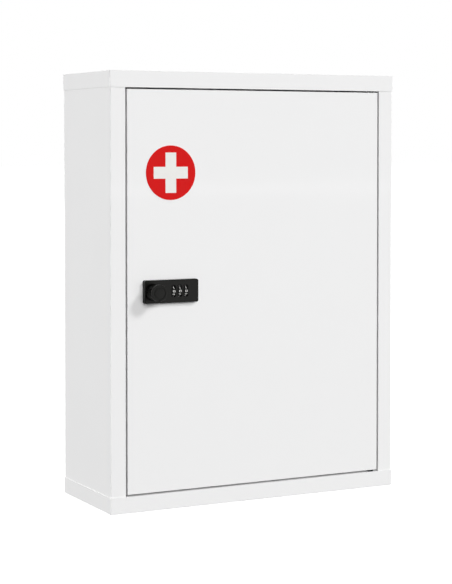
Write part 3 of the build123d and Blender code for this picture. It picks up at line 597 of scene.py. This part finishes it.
def numbers_tree():
    """The numbers 0 to 9 printed round a wheel, one to each tenth of a turn, with 0 at the front."""
    tree, given = new_tree("wheel_numbers", [
        ("Wheel Centre", "Vector"), ("Wheel Radius", "Float"), ("Number Height", "Float"),
        ("Stroke Trim", "Float"), ("Stretch", "Float"), ("Print Depth", "Float"),
        ("Print Height", "Float"), ("Material", "Material"),
    ])
    words = add(tree, "GeometryNodeStringToCurves", {
        "String": "\n".join(digits),
        "Size": calc(tree, "DIVIDE", given["Number Height"], number_share),
    }, align_x="CENTER", align_y="TOP_BASELINE")
    step = calc(tree, "MULTIPLY", given["Wheel Radius"], 2 * math.pi / len(digits))
    base = calc(tree, "SUBTRACT", calc(tree, "MULTIPLY", words.outputs["Line"], step),
                calc(tree, "MULTIPLY", given["Number Height"], 0.5))
    at = position(tree)
    spaced = add(tree, "GeometryNodeSetPosition", {
        "Geometry": words.outputs["Curve Instances"],
        "Position": add(tree, "ShaderNodeCombineXYZ", {"X": at["X"], "Y": base}).outputs[0],
    })
    loose = add(tree, "GeometryNodeRealizeInstances", {"Geometry": spaced.outputs[0]})
    coarse = add(tree, "GeometryNodeSetSplineResolution", {
        "Geometry": loose.outputs[0], "Resolution": number_curve_steps,
    })
    drawn = add(tree, "GeometryNodeResampleCurve", {"Curve": coarse.outputs[0]}, mode="EVALUATED")
    upright = add(tree, "GeometryNodeSetCurveNormal", {"Curve": drawn.outputs[0]}, mode="Z_UP")
    inward = add(tree, "ShaderNodeVectorMath", {
        0: add(tree, "GeometryNodeInputNormal").outputs[0], "Scale": given["Stroke Trim"],
    }, operation="SCALE")
    slim = add(tree, "GeometryNodeSetPosition", {"Geometry": upright.outputs[0], "Offset": inward.outputs[0]})

    # The filled strokes get a thickness and are bent round the rim.
    flat = add(tree, "GeometryNodeFillCurve", {"Curve": slim.outputs[0]})
    fine = add(tree, "GeometryNodeSubdivideMesh", {"Mesh": flat.outputs[0], "Level": print_splits})
    thick = add(tree, "GeometryNodeExtrudeMesh", {
        "Mesh": fine.outputs[0], "Offset": (0.0, 0.0, 1.0),
        "Offset Scale": calc(tree, "ADD", given["Print Depth"], given["Print Height"]), "Individual": False,
    }, mode="FACES")
    under = add(tree, "GeometryNodeFlipFaces", {"Mesh": fine.outputs[0]})
    shell = add(tree, "GeometryNodeJoinGeometry")
    for part in (thick, under):
        tree.links.new(part.outputs[0], shell.inputs[0])
    closed = add(tree, "GeometryNodeMergeByDistance", {"Geometry": shell.outputs[0], "Distance": print_weld})
    radius = calc(tree, "ADD", at["Z"], calc(tree, "SUBTRACT", given["Wheel Radius"], given["Print Depth"]))
    angle = calc(tree, "DIVIDE", at["Y"], given["Wheel Radius"])
    wrapped = add(tree, "ShaderNodeCombineXYZ", {
        "X": calc(tree, "MULTIPLY", at["X"], given["Stretch"]),
        "Y": calc(tree, "MULTIPLY", calc(tree, "MULTIPLY", calc(tree, "COSINE", angle), radius), -1.0),
        "Z": calc(tree, "MULTIPLY", calc(tree, "SINE", angle), radius),
    })
    placed = add(tree, "ShaderNodeVectorMath", {
        0: wrapped.outputs[0], 1: given["Wheel Centre"],
    }, operation="ADD")
    round_wheel = add(tree, "GeometryNodeSetPosition", {
        "Geometry": closed.outputs[0], "Position": placed.outputs[0],
    })
    return end_tree(tree, round_wheel.outputs[0], given["Material"])


def make_numbers():
    """White numbers on the three wheels."""
    tree = numbers_tree()
    for side in ("left", "middle", "right"):
        low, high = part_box(side + "_number_wheel")
        numbers = grow(side + "_wheel_numbers", bpy.data.meshes.new("blank"), tree, {
            "Wheel Centre": (low + high) / 2, "Wheel Radius": (high.y - low.y) / 2,
            "Number Height": number_height, "Stroke Trim": stroke_trim, "Stretch": number_stretch,
            "Print Depth": print_depth, "Print Height": print_height, "Material": finishes["white_print"],
        })
        fit(numbers, side + "_wheel", "white_print")


make_knob()
make_rivets()
make_screws()
make_numbers()


# ---------------------------------------------------------------- camera and studio
def make_camera():
    """The camera of the photograph."""
    camera = bpy.data.objects.new("camera", bpy.data.cameras.new("camera"))
    scene.collection.objects.link(camera)
    camera.data.sensor_width = camera_sensor
    camera.data.lens = camera_lens
    camera.data.shift_y = camera_shift
    camera.location = camera_place
    camera.rotation_euler = Euler((quarter - camera_pitch, 0.0, -camera_yaw))
    camera.data.clip_start, camera.data.clip_end = camera_clip
    scene.camera = camera


def lamp(name, place, target, size, power, in_gloss):
    """A rectangular soft lamp that faces a target. The camera doesn't see it, and gloss does if in_gloss."""
    light = bpy.data.lights.new(name, "AREA")
    light.shape = "RECTANGLE"
    light.size, light.size_y = size
    light.energy = power
    holder = bpy.data.objects.new(name, light)
    scene.collection.objects.link(holder)
    holder.location = place
    holder.rotation_euler = (Vector(target) - Vector(place)).to_track_quat("-Z", "Y").to_euler()
    holder.visible_camera = False
    holder.visible_glossy = in_gloss


def make_lamps():
    """The square lamps round the cabinet, and the narrow one that shows in the gloss of the door."""
    middle = (cad_box[0] + cad_box[1]) / 2
    for name, (direction, distance, side, power) in lamps.items():
        place = middle + Vector(direction).normalized() * distance
        lamp(name, place, middle, (side, side), power, in_gloss=False)
    lamp("band", band_place, (band_place.x, 0.0, band_place.z), band_size, band_power, in_gloss=True)


def make_world():
    """Even soft light from all round, a lit side and a dim side for the gloss, and a white backdrop."""
    world = bpy.data.worlds.new("studio")
    world.use_nodes = True
    scene.world = world
    tree = world.node_tree
    tree.nodes.clear()
    ray = add(tree, "ShaderNodeLightPath").outputs
    sight = add(tree, "ShaderNodeTexCoord").outputs["Generated"]
    towards = add(tree, "ShaderNodeVectorMath", {0: sight, 1: bright_side.normalized()},
                  operation="DOT_PRODUCT").outputs["Value"]
    lit = add(tree, "ShaderNodeMapRange", {
        "Value": towards, "From Min": bright_edge[0], "From Max": bright_edge[1],
    }, interpolation_type="SMOOTHSTEP").outputs["Result"]
    height = add(tree, "ShaderNodeSeparateXYZ", {"Vector": sight}).outputs["Z"]
    below = add(tree, "ShaderNodeMapRange", {
        "Value": height, "From Min": bright_top[0], "From Max": bright_top[1], "To Min": 1.0, "To Max": 0.0,
    }, interpolation_type="SMOOTHSTEP").outputs["Result"]
    gloss = add(tree, "ShaderNodeMapRange", {
        "Value": calc(tree, "MULTIPLY", lit, below), "To Min": dim_level, "To Max": bright_level,
    }).outputs["Result"]
    level = add(tree, "ShaderNodeMix", {"Factor": ray["Is Glossy Ray"], "A": room_level, "B": gloss})
    room = add(tree, "ShaderNodeBackground", {"Color": white, "Strength": level.outputs["Result"]})
    backdrop = add(tree, "ShaderNodeBackground", {"Color": white})
    mixed = add(tree, "ShaderNodeMixShader", {
        0: ray["Is Camera Ray"], 1: room.outputs[0], 2: backdrop.outputs[0],
    })
    add(tree, "ShaderNodeOutputWorld", {"Surface": mixed.outputs[0]})


def make_floor():
    """A plain white floor under the cabinet, which neither matt surfaces nor gloss meet."""
    mesh = bpy.data.meshes.new("floor")
    corners = [(x * floor_half, y * floor_half, -floor_drop)
               for x, y in ((-1, -1), (1, -1), (1, 1), (-1, 1))]
    mesh.from_pydata(corners, [], [(0, 1, 2, 3)])
    floor = bpy.data.objects.new("floor", mesh)
    scene.collection.objects.link(floor)
    material, tree, shader, place = finish_base(
        "studio_floor", Roughness=0.9, Specular_IOR_Level=0.0,
        Emission_Color=white, Emission_Strength=floor_glow)
    cloud = noise(tree, place, floor_cloud)
    feed(tree, shader, "Base Color", tint(tree, cloud, (0.49, 0.49, 0.49), (0.51, 0.51, 0.51)))
    mesh.materials.append(material)
    floor.visible_diffuse = False
    floor.visible_glossy = False


make_camera()
make_world()
make_floor()
make_lamps()
scene.view_settings.view_transform = "Standard"
